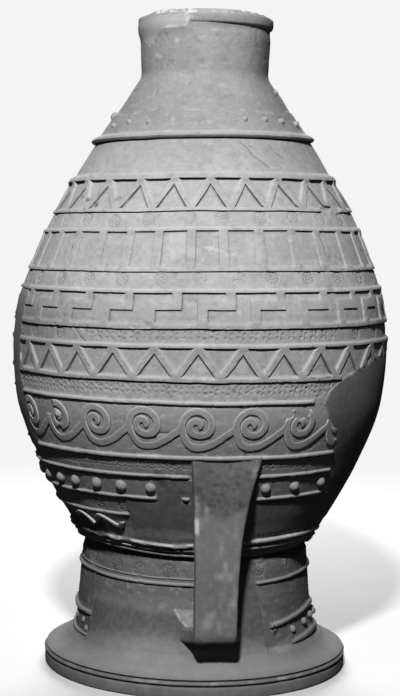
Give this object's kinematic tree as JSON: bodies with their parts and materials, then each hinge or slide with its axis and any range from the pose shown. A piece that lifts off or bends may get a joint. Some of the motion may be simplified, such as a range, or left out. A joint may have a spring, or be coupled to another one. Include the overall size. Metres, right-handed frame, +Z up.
{
  "type": "pithos",
  "caption": "Tall fired-clay storage jar with a narrow neck, ridged body with raised friezes, disc foot and low strap handle.",
  "frame": {"origin": "centre of the flat underside of the disc foot", "axes": "+Z up along the jar's axis, -Y towards the front, which is the side with the strap handle, +X to the right seen from the front"},
  "size_m": [0.912, 0.912, 1.567],
  "materials": {
    "fired_clay": "matt fired clay, worn, with paler smooth repairs"
  },
  "bodies": {
    "root": {"pithos": "fired_clay"}
  },
  "joints": []
}
